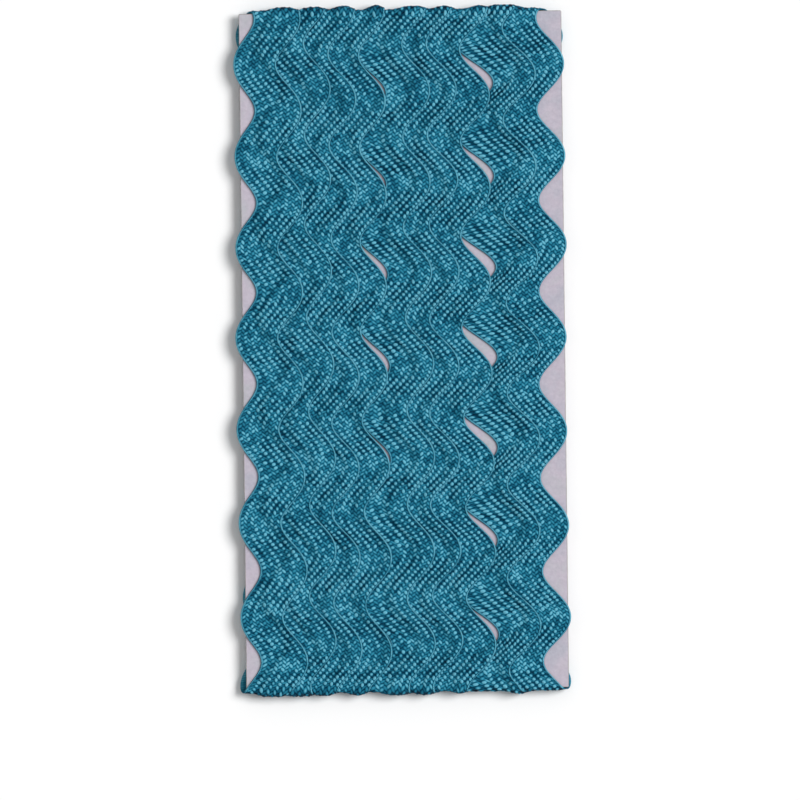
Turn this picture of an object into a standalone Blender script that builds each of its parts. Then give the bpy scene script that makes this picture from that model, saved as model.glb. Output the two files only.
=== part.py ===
"""Ric rac wound on a flat card.

A length of wavy braid is wound lengthwise, nine times, round a stiff card. It lies on its
back: +X runs across the turns, +Y along them and +Z out of the front face. The turns are
laid from right to left, so each one covers the left part of the turn before it, and the
faces rise like shingles towards each turn's right edge. Going down the back, every turn
moves one place to the left, which is how the winding advances.

Lengths are in millimetres until the meshes are written.
"""
import math

import bmesh
import bpy
from mathutils import Vector

MM = 0.001

# The card, and the room between it and the ric rac
CARD_WIDTH = 59.4
CARD_THICKNESS = 1.0
CARD_CORNER = 0.4
CLEARANCE = 0.3

# The ric rac: its width measured level across a turn, one layer's thickness where it lies
# flat and where it is pulled tight over an end of the card, and the length of one wave
BRAID_WIDTH = 8.14
LAYER = 0.8
LAYER_AT_END = 0.45
MOST_LAYERS = 2
WINDING_LENGTH = 127.0

# One row for each turn on the front, from left to right: the middle of the turn from the
# card's middle, half the height of its wave, and how far below the winding's top end its
# wave first swings furthest left
TURNS = (
    {"middle": -24.5, "swing": 2.3, "first_left": 10.2},
    {"middle": -19.2, "swing": 2.4, "first_left": 6.0},
    {"middle": -14.6, "swing": 2.5, "first_left": 8.3},
    {"middle": -9.1, "swing": 2.4, "first_left": 8.7},
    {"middle": -1.0, "swing": 2.5, "first_left": 6.8},
    {"middle": 3.7, "swing": 2.7, "first_left": 6.6},
    {"middle": 9.9, "swing": 2.7, "first_left": 7.6},
    {"middle": 18.0, "swing": 3.0, "first_left": 3.9},
    {"middle": 23.7, "swing": 2.5, "first_left": 2.1},
)
WAVES_PER_TURN = 15

# How finely the turns are drawn: rows along a face, and rows round an end of the card
FACE_ROWS = 58
END_ROWS = 4

# Where a turn climbs onto its neighbour's left edge: the climb starts and ends this far
# from that edge, and each stays between two shares of the turn's visible width
CLIMB_START, CLIMB_END = -0.4, 0.8
START_SHARES = (0.2, 0.45)
END_SHARES = (0.6, 0.85)

# What follows from those sizes. The inner face of the winding runs round the card with
# half-round ends, and a turn's length is measured along it
INNER_RADIUS = CARD_THICKNESS / 2 + CLEARANCE
CARD_LENGTH = WINDING_LENGTH - 2 * (MOST_LAYERS * LAYER_AT_END + CLEARANCE)
FACE_LENGTH = CARD_LENGTH + 2 * CLEARANCE - 2 * INNER_RADIUS
END_LENGTH = math.pi * (INNER_RADIUS + LAYER_AT_END / 2)
TURN_LENGTH = 2 * (FACE_LENGTH + END_LENGTH)
WAVE_LENGTH = TURN_LENGTH / WAVES_PER_TURN
FRONT_LENGTH = FACE_LENGTH + 2 * END_LENGTH


def swing_of(turn, phase):
    """How far the wave has carried a turn to the right, a phase after its leftmost place."""
    return -turn["swing"] * math.cos(phase)


def phase_on_front(turn, along):
    """Phase at a distance along the front stretch, which starts behind the lower end."""
    below_top = WINDING_LENGTH / 2 - turn["first_left"]
    furthest_left = END_LENGTH + FACE_LENGTH / 2 + below_top
    return math.tau * (along - furthest_left) / WAVE_LENGTH


def middle_on_front(place, along):
    turn = TURNS[place]
    return turn["middle"] + swing_of(turn, phase_on_front(turn, along))


def middle_on_back(place, down):
    """Middle of the turn that leaves front place `place` over the top and comes down the
    back to the place on its left, at a distance `down` from the top of the back face."""
    above, below = TURNS[place], TURNS[place - 1]
    share = down / FACE_LENGTH
    at_top = phase_on_front(above, FRONT_LENGTH)
    at_bottom = phase_on_front(below, 0) + math.tau * WAVES_PER_TURN
    blended = {key: above[key] + share * (below[key] - above[key]) for key in above}
    return blended["middle"] + swing_of(blended, at_top + share * (at_bottom - at_top))


def on_loop(angle, straight, layers):
    """(y, z) of a point with this many layers under it. Angle turns from the back face (0)
    round the lower end to the front face (pi) and round the upper end to the back (2 pi).
    On a face, `straight` is the height up it."""
    side = math.sin(angle if angle <= math.pi else angle - math.pi)
    height = layers * (LAYER + side * (LAYER_AT_END - LAYER))
    radius = INNER_RADIUS + height
    upper = angle > math.pi
    turned = angle - math.pi if upper else angle
    out = radius * math.sin(turned)
    through = radius * math.cos(turned)
    if upper:
        return straight + out, through
    return straight - out, -through


def front_stations():
    """(distance along, angle, height) for each row from the back face, round the lower
    end, up the front and round the upper end to the back face again."""
    half = FACE_LENGTH / 2
    stations = []
    for row in range(END_ROWS):
        share = row / END_ROWS
        stations.append((share * END_LENGTH, share * math.pi, -half))
    for row in range(FACE_ROWS + 1):
        rise = FACE_LENGTH * row / FACE_ROWS
        stations.append((END_LENGTH + rise, math.pi, rise - half))
    for row in range(1, END_ROWS + 1):
        share = row / END_ROWS
        along = END_LENGTH + FACE_LENGTH + share * END_LENGTH
        stations.append((along, (1 + share) * math.pi, half))
    return stations


def kept_between(x, left, wide, shares):
    """x, moved no further than it takes to lie between two shares of a width."""
    return min(max(x, left + shares[0] * wide), left + shares[1] * wide)


def profile(middles):
    """The outer face across one row: a list of turns, each a list of (x, layers) from its
    left to its right. A turn starts where the one on its left stops covering it. The last
    turn has none under its right part, so it stays one layer high."""
    half = BRAID_WIDTH / 2
    turns = []
    left = middles[0] - half
    for place, middle in enumerate(middles):
        right = middle + half
        is_last = place + 1 == len(middles)
        covered = right if is_last else middles[place + 1] - half
        start = kept_between(covered + CLIMB_START, left, right - left, START_SHARES)
        end = kept_between(covered + CLIMB_END, left, right - left, END_SHARES)
        high = 1 if is_last else MOST_LAYERS
        turns.append([(left, 1), (start, 1), (end, high), (right, high)])
        left = right
    return turns


def add_row(bm, turns, angle, straight):
    """Vertices of one row: (outer, inner). outer holds four for each turn, and inner one
    below each turn's left edge and one below the last turn's right edge."""
    outer = []
    for turn in turns:
        outer += [bm.verts.new((x, *on_loop(angle, straight, layers))) for x, layers in turn]
    edges = [turn[0][0] for turn in turns] + [turns[-1][-1][0]]
    inner = [bm.verts.new((x, *on_loop(angle, straight, 0))) for x in edges]
    return outer, inner


def bridge(bm, row_a, row_b, step=()):
    """Faces between two rows of the same make: outer face, both sides and inner face. step
    holds a vertex that lies on row b's right edge, if there is one."""
    outer_a, inner_a = row_a
    outer_b, inner_b = row_b
    for column in range(len(outer_a) - 1):
        bm.faces.new((outer_a[column], outer_a[column + 1], outer_b[column + 1], outer_b[column]))
    bm.faces.new((inner_a[0], outer_a[0], outer_b[0], inner_b[0]))
    bm.faces.new((outer_a[-1], inner_a[-1], inner_b[-1], *step, outer_b[-1]))
    for column in range(len(inner_a) - 1):
        bm.faces.new((inner_a[column], inner_b[column], inner_b[column + 1], inner_a[column + 1]))


def make_winding():
    """All the turns as one solid, open at the middle for the card."""
    bm = bmesh.new()
    places = range(len(TURNS))
    front = []
    for along, angle, straight in front_stations():
        middles = [middle_on_front(place, along) for place in places]
        front.append(add_row(bm, profile(middles), angle, straight))
    for row_a, row_b in zip(front, front[1:]):
        bridge(bm, row_a, row_b)

    # The back has one turn fewer. At the top it takes over all but the leftmost turn, and
    # at the bottom it hands over to all but the rightmost.
    top_outer, top_inner = front[-1]
    bottom_outer, bottom_inner = front[0]
    back = [(top_outer[4:], top_inner[1:])]
    for row in range(1, FACE_ROWS):
        down = FACE_LENGTH * row / FACE_ROWS
        middles = [middle_on_back(place, down) for place in places[1:]]
        back.append(add_row(bm, profile(middles), 2 * math.pi, FACE_LENGTH / 2 - down))
    for row_a, row_b in zip(back, back[1:]):
        bridge(bm, row_a, row_b)
    bridge(bm, back[-1], (bottom_outer[:-4], bottom_inner[:-1]), step=[bottom_outer[-4]])

    # The two ends of the braid, cut square where they go under the other turns
    bm.faces.new(top_outer[:5] + [top_inner[1], top_inner[0]])
    bm.faces.new([bottom_inner[-2]] + bottom_outer[-4:] + [bottom_inner[-1]])
    return bm


def make_card():
    """The winding card: a flat rectangle with slightly eased corners."""
    bm = bmesh.new()
    half_width, half_length = CARD_WIDTH / 2, CARD_LENGTH / 2
    eased_x, eased_y = half_width - CARD_CORNER, half_length - CARD_CORNER
    outline = (
        (half_width, -eased_y), (half_width, eased_y), (eased_x, half_length),
        (-eased_x, half_length), (-half_width, eased_y), (-half_width, -eased_y),
        (-eased_x, -half_length), (eased_x, -half_length),
    )
    face = bm.faces.new([bm.verts.new((x, y, -CARD_THICKNESS / 2)) for x, y in outline])
    raised = bmesh.ops.extrude_face_region(bm, geom=[face])["geom"]
    moved = [item for item in raised if isinstance(item, bmesh.types.BMVert)]
    bmesh.ops.translate(bm, verts=moved, vec=(0, 0, CARD_THICKNESS))
    return bm


def material(name, colour, roughness):
    made = bpy.data.materials.new(name)
    made.use_nodes = True
    shader = made.node_tree.nodes["Principled BSDF"]
    shader.inputs["Base Color"].default_value = (*colour, 1)
    shader.inputs["Roughness"].default_value = roughness
    shader.inputs["Metallic"].default_value = 0
    made.diffuse_color = (*colour, 1)
    return made


def finish(name, bm, look, smooth):
    """The object of a mesh drawn in millimetres, with its faces turned out."""
    bmesh.ops.recalc_face_normals(bm, faces=bm.faces)
    bmesh.ops.scale(bm, verts=bm.verts, vec=Vector((MM, MM, MM)))
    mesh = bpy.data.meshes.new(name)
    bm.to_mesh(mesh)
    bm.free()
    mesh.materials.append(look)
    if smooth:
        mesh.shade_smooth()
        mesh.set_sharp_from_angle(angle=math.radians(35))
    made = bpy.data.objects.new(name, mesh)
    bpy.context.scene.collection.objects.link(made)
    return made


def stand_on_origin(objects):
    """Moves the pieces together so that the origin is the middle of the box's underside."""
    corners = [vertex.co for made in objects for vertex in made.data.vertices]
    low = [min(corner[axis] for corner in corners) for axis in range(3)]
    high = [max(corner[axis] for corner in corners) for axis in range(3)]
    shift = Vector(((low[0] + high[0]) / 2, (low[1] + high[1]) / 2, low[2]))
    for made in objects:
        for vertex in made.data.vertices:
            vertex.co -= shift


def main():
    for old in list(bpy.data.objects):
        bpy.data.objects.remove(old, do_unlink=True)
    braid = material("ric_rac", (0.03, 0.19, 0.27), 0.85)
    board = material("card", (0.58, 0.55, 0.62), 0.8)
    pieces = [
        finish("ric_rac", make_winding(), braid, smooth=True),
        finish("winding_card", make_card(), board, smooth=False),
    ]
    stand_on_origin(pieces)


main()
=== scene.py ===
import math

import bpy
import numpy as np
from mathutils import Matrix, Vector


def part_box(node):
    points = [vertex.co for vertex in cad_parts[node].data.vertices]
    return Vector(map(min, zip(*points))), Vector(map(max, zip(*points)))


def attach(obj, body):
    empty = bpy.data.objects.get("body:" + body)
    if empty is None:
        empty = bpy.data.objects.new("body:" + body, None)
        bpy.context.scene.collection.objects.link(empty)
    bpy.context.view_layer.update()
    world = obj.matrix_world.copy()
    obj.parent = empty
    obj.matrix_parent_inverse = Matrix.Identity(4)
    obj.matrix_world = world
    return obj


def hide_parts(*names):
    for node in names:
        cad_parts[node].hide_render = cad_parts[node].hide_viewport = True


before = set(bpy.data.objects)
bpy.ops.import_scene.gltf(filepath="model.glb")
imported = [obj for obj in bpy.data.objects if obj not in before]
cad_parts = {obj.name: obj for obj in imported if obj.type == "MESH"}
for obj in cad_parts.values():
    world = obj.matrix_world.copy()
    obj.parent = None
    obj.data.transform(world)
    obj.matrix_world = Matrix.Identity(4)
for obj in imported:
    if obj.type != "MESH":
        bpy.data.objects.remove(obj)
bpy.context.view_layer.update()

MM = 0.001
card_low, card_high = (np.array(corner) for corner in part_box("winding_card"))
winding_low, winding_high = (np.array(corner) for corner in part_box("ric_rac"))
CARD_MIDDLE = (card_low + card_high) / 2
CARD_WIDTH, CARD_LENGTH, CARD_THICKNESS = (card_high - card_low) / MM
CARD_CORNER, CARD_BEVEL = 0.15, 0.14
WINDING_LENGTH = (winding_high - winding_low)[1] / MM

# The ribbon: its width measured level across a pass, and the room that one layer takes
RIBBON_WIDTH = 8.14
LAYER = 0.8
CLEARANCE = 0.3

# A pass climbs onto its neighbour, from this far before that one's left edge to this far
# past it. Over the card's ends the climb starts and stops further left.
MOST_LIFT = 0.95
CLIMB_BEFORE, CLIMB_AFTER = 1.7, 0.7
MORE_AT_END, SOONER_AT_END = 1.9, 0.9

# How far the passes at some places stand off over the card's upper end, and how far left of
# such a pass's right edge this sets in and is full
BULGES = {2: 0.2, 3: 0.55}
BULGE_FROM, BULGE_FULL = 4.0, 2.8

# The path round the card: two straight faces and two ends, all measured along the ribbon
INNER_RADIUS = CARD_THICKNESS / 2 + CLEARANCE
HALF_LAYER_AT_END = 0.225
FACE_LENGTH = CARD_LENGTH + 2 * CLEARANCE - 2 * INNER_RADIUS
END_LENGTH = math.pi * (INNER_RADIUS + HALF_LAYER_AT_END)
FRONT_LENGTH = FACE_LENGTH + 2 * END_LENGTH
TURN_LENGTH = 2 * (FACE_LENGTH + END_LENGTH)
WAVES_PER_TURN = 15
WAVE_LENGTH = TURN_LENGTH / WAVES_PER_TURN

# The ribbon runs this close to the card. It stands off a little more beside the card's
# corners and less in the middle of an end, where it is also pressed thinner, most of all
# towards its right edge.
CLOSE_TO_CARD, CLOSE_CHANGE = 0.15, 0.10
PRESSED, PRESSED_AT_RIGHT, PRESSED_FROM = 0.22, 0.33, 0.55

# The ribbon's first and last ends: their length on the back, and how far in from the
# outermost pass they lie, which they reach within a short way. The pass over the first end
# comes down to the card this close to its cut.
TUCKED_LENGTH = 58.0
TUCKED_IN, TUCKED_WITHIN = 1.8, 12
CLOSE_TO_CUT = 1

# One row for each front pass, from left to right: its middle, half the height of its wave,
# how far below the top its wave first swings furthest left, and, for its left edge alone,
# how much wider the ribbon is pulled, how much more it swings and how much further down.
# Those last three fade out towards the right edge, by a power of the way across.
PASSES = (
    {"middle": -24.5, "swing": 2.3, "first_left": 10.6, "wider": 0.5, "more": -0.4, "lag": 0.0},
    {"middle": -19.2, "swing": 2.4, "first_left": 6.7, "wider": 0.5, "more": 0.0, "lag": 0.0},
    {"middle": -14.6, "swing": 2.5, "first_left": 8.7, "wider": 0.0, "more": 0.0, "lag": 0.0},
    {"middle": -9.1, "swing": 2.4, "first_left": 9.1, "wider": 0.0, "more": 0.0, "lag": 0.0},
    {"middle": -1.0, "swing": 2.5, "first_left": 7.2, "wider": 1.0, "more": 0.5, "lag": 0.4},
    {"middle": 3.7, "swing": 2.7, "first_left": 7.0, "wider": 0.0, "more": 0.0, "lag": 0.0},
    {"middle": 9.8, "swing": 2.7, "first_left": 8.2, "wider": 0.0, "more": 0.0, "lag": 0.0},
    {"middle": 18.0, "swing": 3.0, "first_left": 4.3, "wider": 0.95, "more": 0.8, "lag": 1.7},
    {"middle": 23.7, "swing": 2.5, "first_left": 2.5, "wider": 0.0, "more": 0.0, "lag": 0.0},
)
LAST_PLACE = len(PASSES) - 1
LEFT_EDGE_FADE = 2.5

# A pass wanders sideways, and its wave wanders along it: by how much at most, in how many
# millimetres that turns by one radian, and how many radians it is further on from pass to
# pass and at the start. It sets in between two distances below the top, and dies away
# between two at the bottom.
SIDE_WANDER = (0.2, 15, 2.3, 0)
WAVE_WANDER = (0.5, 19, 1.7, 1)
FREE_BELOW_TOP = (22, 45)
FREE_ABOVE_BOTTOM = (2, 20)

# A bend is tighter on its inner side than on its outer side by this second wave
SECOND_SWING = 0.15

# The braid: columns of short slanting floats, leaning the two ways in turn, and a cord
# along each edge. FLOAT_PITCH is the length of one row of floats, along the braid.
COLUMNS = 12
EDGE_CORD = 0.34
COLUMN_WIDTH = (RIBBON_WIDTH - 2 * EDGE_CORD) / COLUMNS
FLOAT_PITCH = 0.79

# A float's tilt and half sizes, in columns and rows. Its height grows or shrinks as the
# braid leans, is less in the bends, and differs a little from float to float.
FLOAT_TILT = 0.5
FLOAT_HALF_LENGTH, FLOAT_HALF_WIDTH = 0.78, 0.51
LEAN_SHARE = 0.30
SIZE_IN_BENDS = 0.86
SIZE_SPREAD, SHOWN_SIZE_SPREAD = 0.18, 0.3
FILAMENTS = 4.5

# Heights above the ribbon's underside: its body, and the floats on it, which are lowest
# beside a cord and full after part of a column; the groove along each cord, with the painted
# shade in its colour; and the raised edge
BODY_HEIGHT, FLOAT_RISE, LOWEST_FLOAT = 0.34, 0.34, 0.35
FLOATS_GROW = (-0.05, 0.5)
GROOVE_HEIGHT, GROOVE_PAINTED_SHADE = 0.36, 0.2
CURL, CURL_START = 0.12, 0.72

# Rows of floats run a little downhill to the right, by this part of a row in each column.
# They also wander slowly and quickly: by which part of a row at most, and by how many
# radians from row to row, from column to column and at the start.
ROW_SLANT = 0.10
SLOW_WANDER = (0.10, 0.37, 0.8, 0)
QUICK_WANDER = (0.07, 0.93, -1.1, 2)

# Across an edge cord, from the outside in: distance from the edge, height, and painted
# highlight. The painted highlight grows from dullest between two slopes of the pass, and is
# brightest where the edge faces the lamp. The yarns of a cord are twisted, with so many turns
# along one row of floats and across one column.
CORD_AT = (0.0, 0.13, 0.25)
CORD_HEIGHTS = (0.10, 0.42, 0.54)
CORD_PAINTED_LIGHT = (0.95, 1.05, 0.95)
CORD_PAINTED_DULLEST, CORD_PAINTED_BRIGHTER = 0.92, 0.13
CORD_PAINTED_BRIGHTENS = (-0.3, 0.9)
CORD_TURNS, CORD_TURNS_ACROSS, CORD_TWIST_DEPTH = 2.5, 1.6, 0.14

# The underside is drawn with two lines between its edges, held up by this share of the lift
UNDER_AT = np.array((0.64, 0.05))
UNDER_SHARE = 0.55

# Steps across a column and rows to a float, on the front and on the back; the number of
# places at which a pass's length is measured, and how far past its ends they go; and the
# step that gives its slope
FRONT_DETAIL = (3, 4)
BACK_DETAIL = (2, 3)
MEASURED_AT = 12000
MEASURED_PAST = 2
SLOPE_STEP = 0.05

# The two-layer parts of the back lie on the surface under the winding
FLOOR = -CARD_MIDDLE[2] / MM + 0.005


def smooth_step(low, high, x):
    """0 at low, 1 at high, and a soft curve between."""
    share = np.clip((x - low) / (high - low), 0, 1)
    return share * share * (3 - 2 * share)


def mixed(a, b, share):
    """Each number of row a moved towards row b."""
    return {key: a[key] + share * (b[key] - a[key]) for key in a}


def front_phase(row, s):
    """Phase of a front pass's wave, 0 where it swings furthest left."""
    furthest_left = END_LENGTH + FACE_LENGTH / 2 + WINDING_LENGTH / 2 - row["first_left"]
    return math.tau * (s - furthest_left) / WAVE_LENGTH


def place_across(row, phase, side):
    """x on a ribbon whose wave is at this phase. side is -1 at its left edge, 1 at its right."""
    left_share = ((1 - side) / 2) ** LEFT_EDGE_FADE
    lagged = phase + math.tau * row["lag"] * left_share / WAVE_LENGTH
    swing = row["swing"] + row["more"] * left_share
    wave = -swing * np.cos(lagged) - SECOND_SWING * side * np.cos(2 * lagged)
    return row["middle"] + side * RIBBON_WIDTH / 2 - row["wider"] * left_share + wave


def wander(rule, free, below_top, place):
    """How far a pass drifts by one of the two rules, where it is free to."""
    most, radian, step, start = rule
    return most * free * np.sin(below_top / radian + step * place + start)


def front_across(place, s, side):
    """x on a front pass. Below the measured top part it wanders a little, and its wave runs
    a little ahead or behind, as in any winding done by hand."""
    row = PASSES[place]
    below_top = FRONT_LENGTH - s
    free = smooth_step(*FREE_BELOW_TOP, below_top) * smooth_step(*FREE_ABOVE_BOTTOM, s)
    aside = wander(SIDE_WANDER, free, below_top, place)
    ahead = wander(WAVE_WANDER, free, below_top, place)
    phase = front_phase(row, s) + math.tau * ahead / WAVE_LENGTH
    return place_across(row, phase, side) + aside


def back_across(place, s, side):
    """x on the pass that comes over the top from front place `place` and goes down the back
    to the next place on its left."""
    above, below = PASSES[place], PASSES[place - 1]
    share = (s - FRONT_LENGTH) / FACE_LENGTH
    at_top = front_phase(above, FRONT_LENGTH)
    at_bottom = front_phase(below, 0) + math.tau * WAVES_PER_TURN
    row = mixed(above, below, share)
    return place_across(row, at_top + share * (at_bottom - at_top), side)


def turned(s):
    """How far the path has turned round the lower and the upper end, each from 0 to pi."""
    low_turn = np.clip(s / END_LENGTH, 0, 1) * math.pi
    high_turn = np.clip((s - END_LENGTH - FACE_LENGTH) / END_LENGTH, 0, 1) * math.pi
    return low_turn, high_turn


def on_end(s):
    """1 in the middle of either end of the card and 0 on its faces."""
    low_turn, high_turn = turned(s)
    return np.sin(low_turn) + np.sin(high_turn)


def on_card(s, height, right_edge):
    """(y, z) at a distance along the path and a height above the card. right_edge rises
    from 0 to 1 towards the ribbon's right edge."""
    half = FACE_LENGTH / 2
    low_turn, high_turn = turned(s)
    bend = on_end(s)
    corner = np.sin(2 * low_turn) ** 2 + np.sin(2 * high_turn) ** 2
    close = CARD_THICKNESS / 2 + CLOSE_TO_CARD + CLOSE_CHANGE * (corner - bend ** 4)
    radius = close + height * (1 - bend * (PRESSED + PRESSED_AT_RIGHT * right_edge))
    y = np.where(s < 0, -half - s, np.clip(s - END_LENGTH, 0, FACE_LENGTH) - half)
    y = np.where(s > FRONT_LENGTH, half - (s - FRONT_LENGTH), y)
    y = y - radius * np.sin(low_turn) + radius * np.sin(high_turn)
    on_front = (s > 0) & (s < FRONT_LENGTH)
    z = np.where(on_front, -radius * np.cos(low_turn), -radius)
    z = np.where(s > END_LENGTH + FACE_LENGTH / 2, radius * np.cos(high_turn), z)
    z = np.where(s > FRONT_LENGTH, -radius, z)
    return y, z


def climb(edge, s, x):
    """0 left of a ribbon's left edge and 1 on it: how far a ribbon has climbed onto it."""
    start = edge - CLIMB_BEFORE - MORE_AT_END * on_end(s)
    end = edge + CLIMB_AFTER - SOONER_AT_END * on_end(s)
    return smooth_step(start, end, x)


def bulge(place, s, x):
    """How far a front pass stands off over the upper end, towards its right edge."""
    right = front_across(place, s, 1)
    across = smooth_step(right - BULGE_FROM, right - BULGE_FULL, x)
    return BULGES.get(place, 0) * np.sin(turned(s)[1]) * across


def front_lift(place, s, x):
    """How high the underside of a front pass is held by the passes below it."""
    if place == LAST_PLACE:
        return np.zeros_like(x)
    edge = front_across(place + 1, s, -1)
    below = LAYER + front_lift(place + 1, s, x)
    return np.minimum(climb(edge, s, x) * below, MOST_LIFT) + bulge(place, s, x)


def first_end_across(s, side):
    """The ribbon's first end lies straight down the back, a little in from the last pass."""
    inwards = TUCKED_IN * smooth_step(0, TUCKED_WITHIN, -s)
    return front_across(LAST_PLACE, s, side) - inwards


def last_end_across(s, side):
    """The ribbon's last end goes over the top, a little in from the first pass."""
    inwards = TUCKED_IN * smooth_step(0, TUCKED_WITHIN, s - FRONT_LENGTH)
    return front_across(0, s, side) + inwards


def back_lift(place, s, x):
    """How high the underside of a back pass is held by the passes between it and the card."""
    if place == LAST_PLACE:
        # The first end lies under this pass, along the lower part of the back
        comes_down = (TUCKED_LENGTH + CLOSE_TO_CUT, TUCKED_LENGTH - CLOSE_TO_CUT)
        reach = smooth_step(*comes_down, TURN_LENGTH - s)
        edge = first_end_across(s - TURN_LENGTH, -1)
        return climb(edge, s, x) * LAYER * reach
    edge = back_across(place + 1, s, -1)
    return np.minimum(climb(edge, s, x) * (LAYER + back_lift(place + 1, s, x)), MOST_LIFT)


def first_end_lift(s, x):
    """The first end lies on the card itself."""
    return np.zeros_like(x)


def last_end_lift(s, x):
    """The last end lies over the leftmost back pass."""
    below = LAYER + back_lift(1, s, x)
    return np.minimum(climb(back_across(1, s, -1), s, x) * below, MOST_LIFT)


def spread(a, b, kind):
    """A number from -1 to 1 for each float, the same in every run."""
    value = np.sin(a * 12.9898 + b * 78.233 + kind * 37.719) * 43758.5453
    return 2 * (value - np.floor(value)) - 1


def braid_relief(column, row, lean):
    """Height of the floats, 0 between them and about 1 at their tops. On a stretch that
    leans one way, the floats that cross it stand up and the ones along it sink."""
    relief = np.zeros(np.broadcast(column, row).shape)
    for kind, tilt in ((0, FLOAT_TILT), (1, -FLOAT_TILT)):
        pair = np.round((column - 0.5 - kind) / 2)
        along = column - 0.5 - kind - 2 * pair
        across = row - 0.5 * kind - tilt * along
        count = np.round(across)
        across = across - count
        bump = 1 - (along / FLOAT_HALF_LENGTH) ** 2 - (across / FLOAT_HALF_WIDTH) ** 2
        size = SIZE_IN_BENDS + (1 - SIZE_IN_BENDS) * np.abs(lean)
        size = size + np.sign(tilt) * LEAN_SHARE * lean + SIZE_SPREAD * spread(pair, count, kind)
        relief = np.maximum(relief, size * np.sqrt(np.clip(bump, 0, None)))
    return relief


def row_wander(rule, column, row):
    """How far a row of floats drifts by one of the two rules."""
    most, by_row, by_column, start = rule
    return most * np.sin(by_row * row + by_column * column + start)


def woven_row(column, row):
    """The floats don't lie on perfect lines: how far along the braid a row lies."""
    slow = row_wander(SLOW_WANDER, column, row)
    quick = row_wander(QUICK_WANDER, column, row)
    return row + ROW_SLANT * column + slow + quick


class Ring:
    """The vertices of one row, from the left edge over the outer face to the right edge and
    back along the underside. `side` says where each one lies, from -1 at the left edge to 1
    at the right, and `column` says it in columns of the braid. `column` has one more at its
    end, for the face that closes the ring."""

    def __init__(self, steps):
        half = RIBBON_WIDTH / 2
        cord = np.array(CORD_AT)
        self.braid = np.arange(COLUMNS * steps + 1) / steps
        inside = -half + EDGE_CORD + self.braid * COLUMN_WIDTH
        lies = [cord - half, inside, half - cord[::-1], UNDER_AT * half]
        self.side = np.concatenate(lies) / half
        outside = (cord - EDGE_CORD) / COLUMN_WIDTH
        under = COLUMNS + 1 + np.arange(len(UNDER_AT) + 1)
        self.column = np.concatenate([outside, self.braid, COLUMNS - outside[::-1], under])
        first, last = len(cord), len(cord) + len(self.braid)
        self.left_cord = slice(0, first)
        self.woven = slice(first, last)
        self.grooves = [first, last - 1]
        self.right_cord = slice(last, last + len(cord))
        self.outer = slice(0, last + len(cord))
        self.under = slice(last + len(cord), None)

    def heights(self, relief):
        """Heights above the ribbon's underside, from the relief of the floats. The right
        edge curls up a little."""
        near_left = smooth_step(*FLOATS_GROW, self.braid)
        near_right = smooth_step(*FLOATS_GROW, COLUMNS - self.braid)
        rise = FLOAT_RISE * (LOWEST_FLOAT + (1 - LOWEST_FLOAT) * near_left * near_right)
        height = np.zeros((len(relief), len(self.side)))
        height[:, self.woven] = BODY_HEIGHT + rise * relief
        height[:, self.grooves] = GROOVE_HEIGHT
        height[:, self.left_cord] = CORD_HEIGHTS
        height[:, self.right_cord] = CORD_HEIGHTS[::-1]
        height[:, self.outer] += CURL * smooth_step(CURL_START, 1.0, self.side[self.outer])
        return height

    def brightness(self, relief, lean):
        """Painted shade and highlight that set the yarn's colour: the floats' relief, dark at
        their roots and light on top, the grooves painted dark, and the cords painted bright. A
        cord is painted brighter where its pass leans left, going up, where its edge faces the
        lamp.
        """
        shown = np.zeros_like(lean)
        shown[:, self.woven] = relief
        shown[:, self.grooves] = GROOVE_PAINTED_SHADE
        # Painted highlight on a cord where its edge faces the lamp
        painted_lit = CORD_PAINTED_DULLEST + CORD_PAINTED_BRIGHTER * smooth_step(*CORD_PAINTED_BRIGHTENS, lean)
        shown[:, self.left_cord] = np.array(CORD_PAINTED_LIGHT) * painted_lit[:, self.left_cord]
        shown[:, self.right_cord] = np.array(CORD_PAINTED_LIGHT[::-1]) * painted_lit[:, self.right_cord]
        return shown


def ribbon_rows(across, start, end, rate):
    """Distances along the path where the ribbon's rows lie, `rate` to a float, measured
    along its wavy middle, and how many floats they are from the start."""
    s = np.linspace(start - MEASURED_PAST, end + MEASURED_PAST, MEASURED_AT)
    x = across(s, 0)
    length = np.concatenate(([0], np.cumsum(np.hypot(np.diff(s), np.diff(x)))))
    length = length - np.interp(start, s, length)
    count = int(np.ceil(np.interp(end, s, length) * rate / FLOAT_PITCH))
    floats = np.arange(count + 1) / rate
    return np.interp(floats * FLOAT_PITCH, length, s), floats


def ribbon_mesh(name, across, lift, start, end, first_row, detail):
    """Mesh of one pass, where its last row lies, and that row's number."""
    steps, rate = detail
    ring = Ring(steps)
    s, floats = ribbon_rows(across, start, end, rate)
    s = s[:, None]
    row = floats[:, None] + first_row
    x = across(s, ring.side)
    ahead, behind = across(s + SLOPE_STEP, ring.side), across(s - SLOPE_STEP, ring.side)
    lean = np.clip((behind - ahead) / (2 * SLOPE_STEP), -1, 1)
    woven = woven_row(ring.column, row)
    relief = braid_relief(ring.braid, woven[:, ring.woven], lean[:, ring.woven])
    held = lift(s, x)
    held[:, ring.under] *= UNDER_SHARE
    right_edge = smooth_step(PRESSED_FROM, 1.0, ring.side)
    y, z = on_card(s, ring.heights(relief) + held, right_edge)
    mesh = ring_mesh(name, np.stack([x, y, np.maximum(z, FLOOR)], axis=-1))
    add_braid_map(mesh, ring.column, woven - math.floor(first_row))
    # Painted shade and highlight for the yarn's colour: dark float roots and grooves, bright
    # float tops and cords
    add_point_values(mesh, "relief", ring.brightness(relief, lean))
    add_point_values(mesh, "lean", lean)
    # Painted shade over the card's ends, where the braid turns away from the light
    add_point_values(mesh, "painted_end_shade", np.broadcast_to(on_end(s) ** 3, x.shape))
    return mesh, float(s[-1, 0]), float(row[-1, 0])


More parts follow.
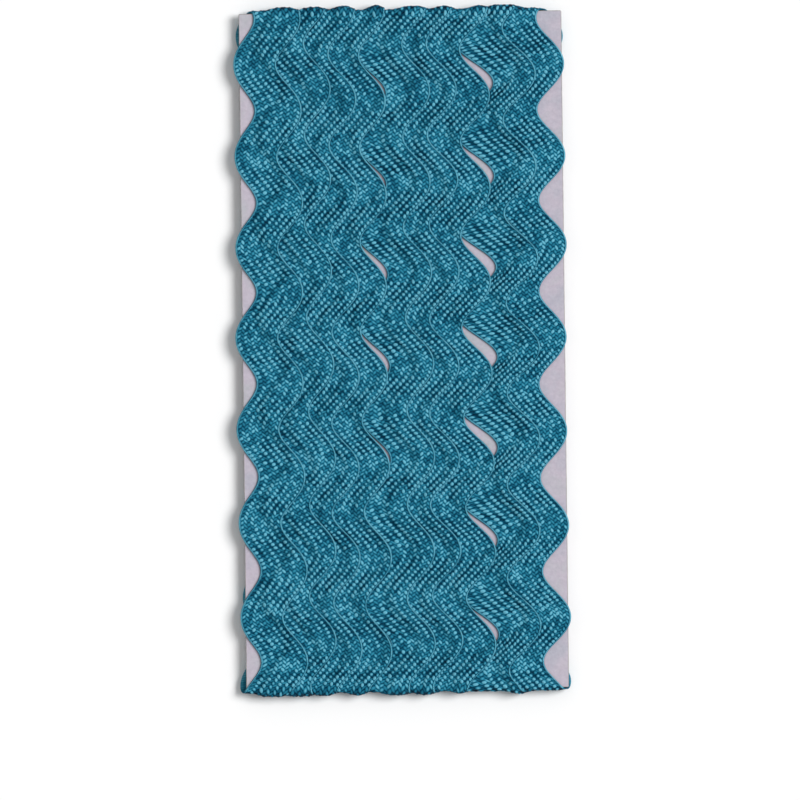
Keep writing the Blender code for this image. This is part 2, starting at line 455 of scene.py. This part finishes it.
def ring_mesh(name, points):
    """A closed tube through rows of rings, with a flat face at either end."""
    rows, ring = points.shape[:2]
    index = np.arange(rows * ring).reshape(rows, ring)
    following = np.roll(index, -1, axis=1)
    quads = np.stack([index[:-1], following[:-1], following[1:], index[1:]], axis=-1)
    quads = quads.reshape(-1, 4)
    corners = np.concatenate([quads.ravel(), index[0, ::-1], index[-1]])
    sizes = np.concatenate([np.full(len(quads), 4), [ring, ring]])
    mesh = bpy.data.meshes.new(name)
    mesh.vertices.add(rows * ring)
    placed = points.reshape(-1, 3) * MM + CARD_MIDDLE
    mesh.vertices.foreach_set("co", placed.astype(np.float32).ravel())
    mesh.loops.add(len(corners))
    mesh.loops.foreach_set("vertex_index", corners.astype(np.int32))
    mesh.polygons.add(len(sizes))
    starts = np.concatenate([[0], np.cumsum(sizes)[:-1]])
    mesh.polygons.foreach_set("loop_start", starts.astype(np.int32))
    mesh.update(calc_edges=True)
    mesh.shade_smooth()
    return mesh


def add_braid_map(mesh, column, row):
    """A UV map that holds the column and row of the braid at each corner."""
    left = np.broadcast_to(column[:-1], (len(row) - 1, len(column) - 1))
    right = np.broadcast_to(column[1:], left.shape)
    quads = np.stack([left, row[:-1, :-1], right, row[:-1, 1:], right, row[1:, 1:],
                      left, row[1:, :-1]], axis=-1)
    ring = len(column) - 1
    ends = np.concatenate([np.tile([0.5, row[0, 0]], ring), np.tile([0.5, row[-1, 0]], ring)])
    layer = mesh.uv_layers.new(name="braid")
    values = np.concatenate([quads.ravel(), ends])
    layer.uv.foreach_set("vector", values.astype(np.float32))


def add_point_values(mesh, name, values):
    attribute = mesh.attributes.new(name, "FLOAT", "POINT")
    attribute.data.foreach_set("value", values.astype(np.float32).ravel())


def make_ribbon(material):
    """All the passes in the order in which they were wound, so that the braid runs on from
    each to the next."""
    plan = [("first_end", first_end_across, first_end_lift, -TUCKED_LENGTH, 0, BACK_DETAIL)]
    for place in range(LAST_PLACE, -1, -1):
        front = [lambda s, side, place=place: front_across(place, s, side),
                 lambda s, x, place=place: front_lift(place, s, x)]
        plan.append((f"front_pass_{place + 1}", *front, 0, FRONT_LENGTH, FRONT_DETAIL))
        back = [lambda s, side, place=place: back_across(place, s, side),
                lambda s, x, place=place: back_lift(place, s, x)]
        if place > 0:
            plan.append((f"back_pass_{place + 1}", *back, FRONT_LENGTH, TURN_LENGTH, BACK_DETAIL))
    plan.append(("last_end", last_end_across, last_end_lift, FRONT_LENGTH,
                 FRONT_LENGTH + TUCKED_LENGTH, BACK_DETAIL))
    reached, row = -TUCKED_LENGTH, 0.0
    for name, across, lift, start, end, detail in plan:
        if start == 0:
            reached = reached % TURN_LENGTH
        mesh, reached, row = ribbon_mesh(name, across, lift, reached, end, row, detail)
        mesh.materials.append(material)
        piece = bpy.data.objects.new(name, mesh)
        bpy.context.scene.collection.objects.link(piece)
        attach(piece, "root")
        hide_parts("ric_rac")


class Nodes:
    """Short calls for building a material's nodes. A value is a socket or a number."""

    def __init__(self, name):
        self.material = bpy.data.materials.new(name)
        self.material.use_nodes = True
        self.tree = self.material.node_tree
        self.shader = self.tree.nodes["Principled BSDF"]

    def put(self, socket, value):
        if isinstance(value, bpy.types.NodeSocket):
            self.tree.links.new(value, socket)
        else:
            socket.default_value = value

    def math(self, operation, *values, clamp=False):
        node = self.tree.nodes.new("ShaderNodeMath")
        node.operation = operation
        node.use_clamp = clamp
        for socket, value in zip(node.inputs, values):
            self.put(socket, value)
        return node.outputs[0]

    def squared(self, value):
        return self.math("POWER", self.math("ABSOLUTE", value), 2.0)

    def mix(self, share, a, b):
        """a where share is 0 and b where it is 1."""
        return self.math("ADD", a, self.math("MULTIPLY", share, self.math("SUBTRACT", b, a)))

    def around_middle(self, value, width):
        """A value from 0 to 1, spread over a width with its middle at 0."""
        return self.math("MULTIPLY", self.math("SUBTRACT", value, 0.5), width)

    def noise(self, scale, detail=2.0, vector=None, rough=0.5):
        node = self.tree.nodes.new("ShaderNodeTexNoise")
        node.inputs["Scale"].default_value = scale
        node.inputs["Detail"].default_value = detail
        node.inputs["Roughness"].default_value = rough
        self.put(node.inputs["Vector"], vector or self.place())
        return node.outputs["Fac"]

    def place(self):
        node = self.tree.nodes.new("ShaderNodeTexCoord")
        return node.outputs["Object"]

    def combine(self, x, y, z=0.0):
        node = self.tree.nodes.new("ShaderNodeCombineXYZ")
        for socket, value in zip(node.inputs, (x, y, z)):
            self.put(socket, value)
        return node.outputs[0]

    def white(self, vector):
        node = self.tree.nodes.new("ShaderNodeTexWhiteNoise")
        node.noise_dimensions = "3D"
        self.put(node.inputs["Vector"], vector)
        return node.outputs["Value"]

    def attribute(self, name):
        node = self.tree.nodes.new("ShaderNodeAttribute")
        node.attribute_name = name
        return node.outputs["Fac"]

    def ramp(self, value, *stops):
        """Colours by a value; each stop is (value, (r, g, b))."""
        node = self.tree.nodes.new("ShaderNodeValToRGB")
        ramp = node.color_ramp
        while len(ramp.elements) < len(stops):
            ramp.elements.new(0.5)
        for element, (at, colour) in zip(ramp.elements, stops):
            element.position = at
            element.color = (*colour, 1)
        self.put(node.inputs["Fac"], value)
        return node.outputs["Color"]

    def blend(self, share, a, b, kind="MIX"):
        node = self.tree.nodes.new("ShaderNodeMix")
        node.data_type = "RGBA"
        node.blend_type = kind
        self.put(node.inputs[0], share)
        self.put(node.inputs[6], a)
        self.put(node.inputs[7], b)
        return node.outputs[2]

    def bump(self, height, distance, strength=1.0, normal=None):
        node = self.tree.nodes.new("ShaderNodeBump")
        node.inputs["Strength"].default_value = strength
        node.inputs["Distance"].default_value = distance
        self.put(node.inputs["Height"], height)
        if normal is not None:
            self.put(node.inputs["Normal"], normal)
        return node.outputs["Normal"]


def float_pattern(n, column, row, lean, steep):
    """Relief, filaments and tone of the float that is on top at a place in the braid, by the
    same rule as in braid_relief."""
    best, strands, tone = None, None, None
    for kind, tilt in ((0, FLOAT_TILT), (1, -FLOAT_TILT)):
        moved = n.math("SUBTRACT", column, 0.5 + kind)
        pair = n.math("ROUND", n.math("MULTIPLY", moved, 0.5))
        along = n.math("SUBTRACT", moved, n.math("MULTIPLY", pair, 2.0))
        from_first = n.math("SUBTRACT", row, 0.5 * kind)
        slanted = n.math("SUBTRACT", from_first, n.math("MULTIPLY", along, tilt))
        count = n.math("ROUND", slanted)
        across = n.math("SUBTRACT", slanted, count)
        far = n.math("ADD", n.squared(n.math("DIVIDE", along, FLOAT_HALF_LENGTH)),
                     n.squared(n.math("DIVIDE", across, FLOAT_HALF_WIDTH)))
        bump = n.math("SQRT", n.math("SUBTRACT", 1.0, far, clamp=True))
        chance = n.white(n.combine(pair, count, float(kind)))
        size = n.math("MULTIPLY", lean, LEAN_SHARE * (1 if tilt > 0 else -1))
        size = n.math("ADD", size, n.mix(steep, SIZE_IN_BENDS, 1.0))
        size = n.math("ADD", size, n.around_middle(chance, SHOWN_SIZE_SPREAD))
        height = n.math("MULTIPLY", size, bump)
        strand = n.math("SINE", n.math("MULTIPLY", across, math.tau * FILAMENTS))
        if best is None:
            best, strands, tone = height, strand, chance
        else:
            wins = n.math("GREATER_THAN", height, best)
            strands = n.mix(wins, strands, strand)
            tone = n.mix(wins, tone, chance)
            best = n.math("MAXIMUM", best, height)
    return best, strands, tone


def cord_relief(n, column, row):
    """Painted highlight of an edge cord, with the stripes of its twisted yarns."""
    twist = n.math("ADD", n.math("MULTIPLY", row, math.tau * CORD_TURNS),
                   n.math("MULTIPLY", column, math.tau * CORD_TURNS_ACROSS))
    stripes = n.math("MULTIPLY", n.math("SINE", twist), CORD_TWIST_DEPTH)
    return n.math("ADD", n.attribute("relief"), stripes)


# The yarn's level runs from 0 at the roots of a float to 1 on top, and its colours paint
# shade at the roots and a highlight on top. It is changed by fine mottling, by chance from
# float to float, by how much a pass leans more or less than this, and by painted shade over
# an end of the card, where the braid turns away from the light. Bump depths are those of the
# fuzz and the relief.
MOTTLING, FLOAT_CHANCE = 0.35, 0.18
USUAL_LEAN, DARKER_LEANING = 0.4, 0.12
PAINTED_END_SHADE_DEPTH = 0.5
YARN_PAINTED_SHADE_COLOURS = (
    (0.12, (0.000, 0.006, 0.018)), (0.50, (0.002, 0.075, 0.140)),
    (0.86, (0.026, 0.245, 0.370)), (1.00, (0.140, 0.460, 0.600)),
)
FUZZ_DEPTH, RELIEF_DEPTH = 0.04, 0.12


def braid_material():
    """Yarn with painted shade and highlight: each float painted bright along its back and dark
    where it dips under, with fine filaments along it and small differences from float to
    float. The floats that cross a steep stretch are darker between, and painted shade
    darkens the braid where it turns over an end, away from the light."""
    n = Nodes("ric_rac_yarn")
    uv = n.tree.nodes.new("ShaderNodeUVMap")
    uv.uv_map = "braid"
    split = n.tree.nodes.new("ShaderNodeSeparateXYZ")
    n.put(split.inputs[0], uv.outputs[0])
    column, row = split.outputs[0], split.outputs[1]
    lean = n.attribute("lean")
    steep = n.math("ABSOLUTE", lean)
    floats, strands, tone = float_pattern(n, column, row, lean, steep)

    past_left = n.math("GREATER_THAN", column, 0.0)
    before_right = n.math("LESS_THAN", column, float(COLUMNS))
    on_braid = n.math("MULTIPLY", past_left, before_right)
    relief = n.mix(on_braid, cord_relief(n, column, row), floats)

    flatter = n.math("SUBTRACT", USUAL_LEAN, steep)
    level = n.math("ADD", relief, n.around_middle(n.noise(220.0, 3.0), MOTTLING))
    level = n.math("ADD", level, n.around_middle(tone, FLOAT_CHANCE))
    level = n.math("ADD", level, n.math("MULTIPLY", flatter, DARKER_LEANING))
    # Painted shade over the card's ends
    painted_end_shade = n.math("MULTIPLY", n.attribute("painted_end_shade"), PAINTED_END_SHADE_DEPTH)
    level = n.math("SUBTRACT", level, painted_end_shade)
    n.put(n.shader.inputs["Base Color"], n.ramp(level, *YARN_PAINTED_SHADE_COLOURS))
    rough = n.math("ADD", 0.62, n.math("MULTIPLY", n.noise(900.0), 0.2))
    n.put(n.shader.inputs["Roughness"], rough)
    n.shader.inputs["Sheen Weight"].default_value = 0.03
    n.shader.inputs["Sheen Roughness"].default_value = 0.4
    n.shader.inputs["Sheen Tint"].default_value = (0.55, 0.85, 0.95, 1)
    n.shader.inputs["Specular IOR Level"].default_value = 0.05
    fuzz = n.math("ADD", n.math("MULTIPLY", strands, 0.25), n.noise(6000.0, 2.0))
    normal = n.bump(fuzz, FUZZ_DEPTH * MM, 0.5)
    normal = n.bump(relief, RELIEF_DEPTH * MM, 0.6, normal)
    n.put(n.shader.inputs["Normal"], normal)
    return n.material


def card_material():
    """Smooth lilac-grey board, mottled, with short fibres."""
    n = Nodes("card_face")
    blotches = n.noise(140.0, 4.0, rough=0.6)
    fibres = n.noise(1500.0, 3.0, rough=0.7)
    base = n.ramp(blotches, (0.32, (0.46, 0.45, 0.52)), (0.5, (0.53, 0.475, 0.55)),
                  (0.68, (0.46, 0.465, 0.50)))
    shade = n.ramp(fibres, (0.35, (0.88, 0.87, 0.89)), (0.65, (1.0, 1.0, 1.0)))
    n.put(n.shader.inputs["Base Color"], n.blend(1.0, base, shade, "MULTIPLY"))
    n.put(n.shader.inputs["Roughness"], n.math("ADD", 0.55, n.math("MULTIPLY", fibres, 0.2)))
    n.put(n.shader.inputs["Normal"], n.bump(fibres, 0.03 * MM, 0.6))
    return n.material


def card_edge_material():
    """The cut edge of the board: darker, in thin layers."""
    n = Nodes("card_cut_edge")
    stretched = n.tree.nodes.new("ShaderNodeMapping")
    stretched.inputs["Scale"].default_value = (1, 1, 9)
    n.put(stretched.inputs["Vector"], n.place())
    layers = n.noise(900.0, 3.0, stretched.outputs[0])
    n.put(n.shader.inputs["Base Color"],
          n.ramp(layers, (0.3, (0.20, 0.18, 0.17)), (0.7, (0.42, 0.39, 0.37))))
    n.shader.inputs["Roughness"].default_value = 0.9
    n.put(n.shader.inputs["Normal"], n.bump(layers, 0.1 * MM, 0.8))
    return n.material


def make_card():
    """The winding card with softened cut edges."""
    half = np.array([CARD_WIDTH, CARD_LENGTH, CARD_THICKNESS]) / 2
    eased = half - CARD_CORNER
    outline = [
        (half[0], -eased[1]), (half[0], eased[1]), (eased[0], half[1]), (-eased[0], half[1]),
        (-half[0], eased[1]), (-half[0], -eased[1]), (-eased[0], -half[1]), (eased[0], -half[1]),
    ]
    count = len(outline)
    points = np.array([(x, y, z) for z in (-half[2], half[2]) for x, y in outline])
    faces = [tuple(range(count))[::-1], tuple(range(count, 2 * count))]
    for low in range(count):
        following = (low + 1) % count
        faces.append((low, following, count + following, count + low))
    mesh = bpy.data.meshes.new("card")
    mesh.from_pydata((points * MM + CARD_MIDDLE).tolist(), [], faces)
    mesh.materials.append(card_material())
    mesh.materials.append(card_edge_material())
    for polygon in mesh.polygons:
        polygon.material_index = 0 if abs(polygon.normal.z) > 0.5 else 1
    card = bpy.data.objects.new("card", mesh)
    bpy.context.scene.collection.objects.link(card)
    bevel = card.modifiers.new("soft_edge", "BEVEL")
    bevel.width = CARD_BEVEL * MM
    bevel.segments = 3
    bevel.material = 1
    bevel.harden_normals = True
    mesh.shade_smooth()
    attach(card, "root")
    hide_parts("winding_card")


FLOOR_REACH = 1.5


def make_floor():
    """A pale floor, in metres, that runs out of every view."""
    mesh = bpy.data.meshes.new("floor")
    reach = FLOOR_REACH
    corners = [(-reach, -reach, 0), (reach, -reach, 0), (reach, reach, 0), (-reach, reach, 0)]
    mesh.from_pydata(corners, [], [(0, 1, 2, 3)])
    n = Nodes("pale_floor")
    n.shader.inputs["Base Color"].default_value = (0.96, 0.96, 0.96, 1)
    n.shader.inputs["Roughness"].default_value = 0.9
    mesh.materials.append(n.material)
    floor = bpy.data.objects.new("floor", mesh)
    bpy.context.scene.collection.objects.link(floor)


# The lamp's strength, its width and its turn from straight overhead, in degrees; the
# strength of the surround straight down and straight up; and the direction's height below
# which it lies under the floor
LAMP_ENERGY = 2.42
LAMP_WIDTH = 28
LAMP_TURN = (-10, 34)
SURROUND_LOW, SURROUND_HIGH = 0.055, 0.615
UNDER_FLOOR = -0.001


def make_lights():
    """A broad lamp from the right, and a surround that is brightest overhead. Under the
    floor, where it lights nothing, the surround is as white as the floor."""
    sun = bpy.data.lights.new("key", "SUN")
    sun.energy = LAMP_ENERGY
    sun.angle = math.radians(LAMP_WIDTH)
    lamp = bpy.data.objects.new("key", sun)
    lamp.rotation_euler = (math.radians(LAMP_TURN[0]), math.radians(LAMP_TURN[1]), 0)
    bpy.context.scene.collection.objects.link(lamp)
    world = bpy.data.worlds.new("surround")
    world.use_nodes = True
    tree = world.node_tree
    direction = tree.nodes.new("ShaderNodeTexCoord")
    split = tree.nodes.new("ShaderNodeSeparateXYZ")
    tree.links.new(direction.outputs["Generated"], split.inputs[0])
    overhead = tree.nodes.new("ShaderNodeMapRange")
    overhead.inputs["To Min"].default_value = SURROUND_LOW
    overhead.inputs["To Max"].default_value = SURROUND_HIGH
    tree.links.new(split.outputs[2], overhead.inputs["Value"])
    under_floor = tree.nodes.new("ShaderNodeMath")
    under_floor.operation = "LESS_THAN"
    under_floor.inputs[1].default_value = UNDER_FLOOR
    tree.links.new(split.outputs[2], under_floor.inputs[0])
    brightest = tree.nodes.new("ShaderNodeMath")
    brightest.operation = "MAXIMUM"
    tree.links.new(overhead.outputs[0], brightest.inputs[0])
    tree.links.new(under_floor.outputs[0], brightest.inputs[1])
    tree.links.new(brightest.outputs[0], tree.nodes["Background"].inputs["Strength"])
    tree.nodes["Background"].inputs["Color"].default_value = (1, 1, 1, 1)
    bpy.context.scene.world = world


# The photograph is a straight-down view, 0.184 mm to the pixel, turned by a fraction of a
# degree, with the winding's middle above the picture's middle.
PICTURE_SIDE = 800
MM_PER_PIXEL = 0.1841
PICTURE_MIDDLE = (-2.75, -49.4)
TURNED = 0.66
CAMERA_HEIGHT = 1.5
CAMERA_SEES = (0.01, 10)


def make_camera():
    """A camera that looks straight down on the picture's middle."""
    data = bpy.data.cameras.new("camera")
    data.type = "ORTHO"
    data.ortho_scale = PICTURE_SIDE * MM_PER_PIXEL * MM
    data.clip_start, data.clip_end = CAMERA_SEES
    camera = bpy.data.objects.new("camera", data)
    x, y = (pixels * MM_PER_PIXEL * MM for pixels in PICTURE_MIDDLE)
    camera.location = (x, y, CAMERA_HEIGHT)
    camera.rotation_euler = (0, 0, math.radians(-TURNED))
    bpy.context.scene.collection.objects.link(camera)
    bpy.context.scene.camera = camera


make_camera()
make_lights()
make_floor()
make_card()
make_ribbon(braid_material())
bpy.context.scene.view_settings.view_transform = "Standard"
